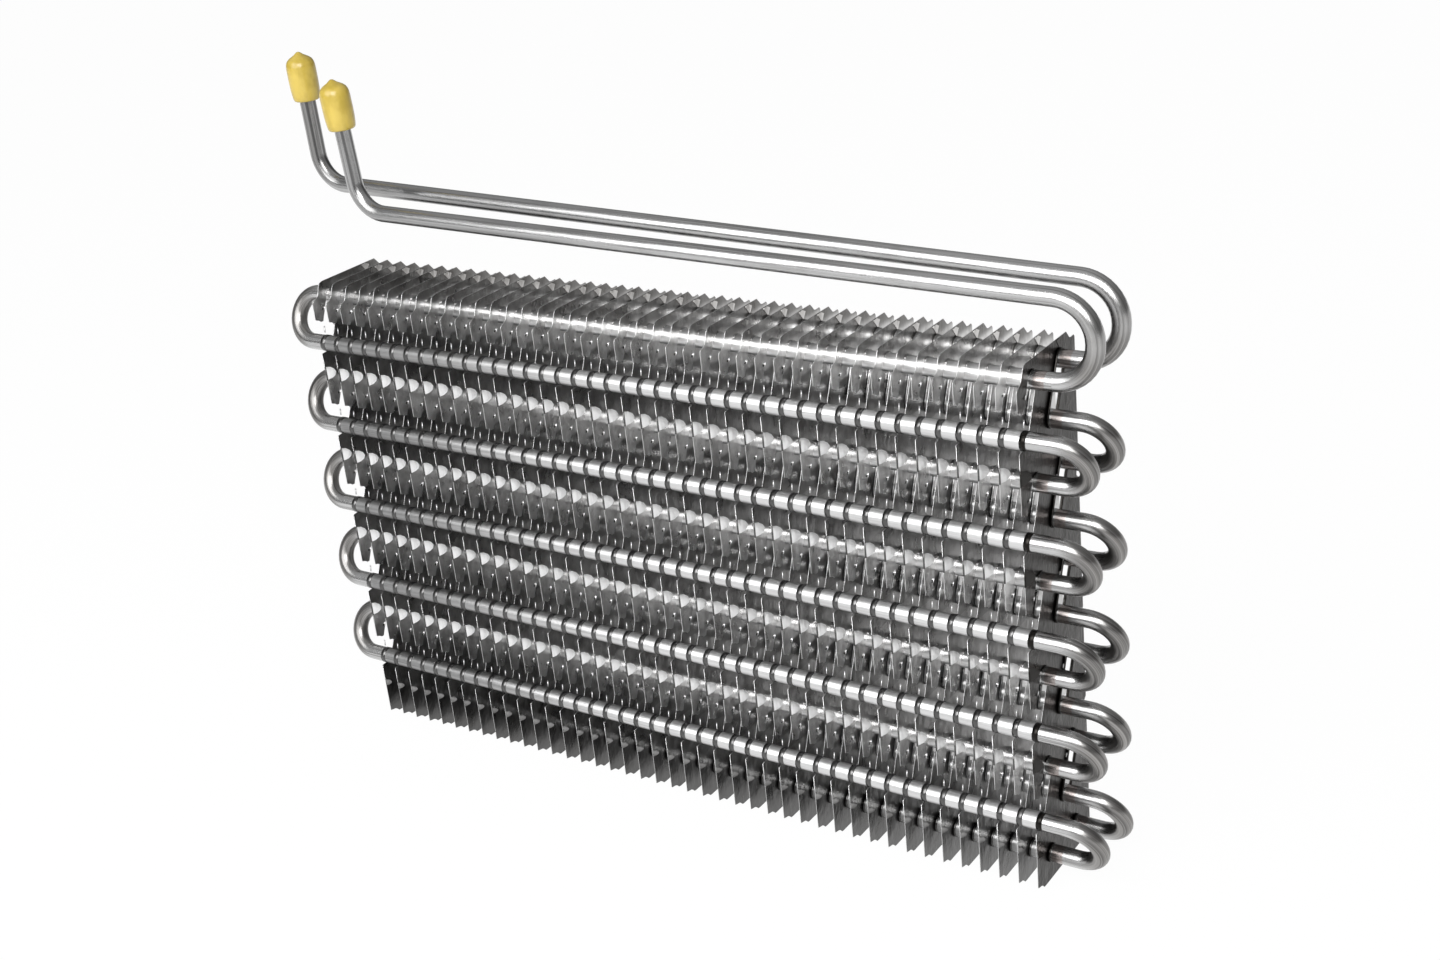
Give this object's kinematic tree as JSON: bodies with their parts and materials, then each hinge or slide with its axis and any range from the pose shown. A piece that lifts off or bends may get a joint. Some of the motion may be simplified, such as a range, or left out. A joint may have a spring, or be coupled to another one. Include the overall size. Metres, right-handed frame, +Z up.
{
  "type": "finned tube heat exchanger",
  "caption": "Upright pack of thin parallel fins on a two-row serpentine tube, with two capped connection risers.",
  "frame": {"origin": "on the surface that the fins stand on, under the middle of the whole object's box", "axes": "+X along the tubes from the capped risers to the end where the connections turn back, +Y from the fins' front edges to the rear, +Z up"},
  "size_m": [0.4434, 0.0556, 0.3537],
  "materials": {
    "fin": "dull rolled sheet",
    "tube": "bright drawn tube",
    "cap": "soft moulded plastic with a satin sheen"
  },
  "bodies": {
    "root": {"fin_01": "fin", "fin_02": "fin", "fin_03": "fin", "fin_04": "fin", "fin_05": "fin", "fin_06": "fin", "fin_07": "fin", "fin_08": "fin", "fin_09": "fin", "fin_10": "fin", "fin_11": "fin", "fin_12": "fin", "fin_13": "fin", "fin_14": "fin", "fin_15": "fin", "fin_16": "fin", "fin_17": "fin", "fin_18": "fin", "fin_19": "fin", "fin_20": "fin", "fin_21": "fin", "fin_22": "fin", "fin_23": "fin", "fin_24": "fin", "fin_25": "fin", "fin_26": "fin", "fin_27": "fin", "fin_28": "fin", "fin_29": "fin", "fin_30": "fin", "fin_31": "fin", "fin_32": "fin", "fin_33": "fin", "fin_34": "fin", "fin_35": "fin", "fin_36": "fin", "fin_37": "fin", "fin_38": "fin", "fin_39": "fin", "fin_40": "fin", "fin_41": "fin", "fin_42": "fin", "coil_front": "tube", "coil_rear": "tube", "coil_crossover": "tube", "connection_front": "tube", "connection_rear": "tube", "cap_front": "cap", "cap_rear": "cap"}
  },
  "joints": []
}
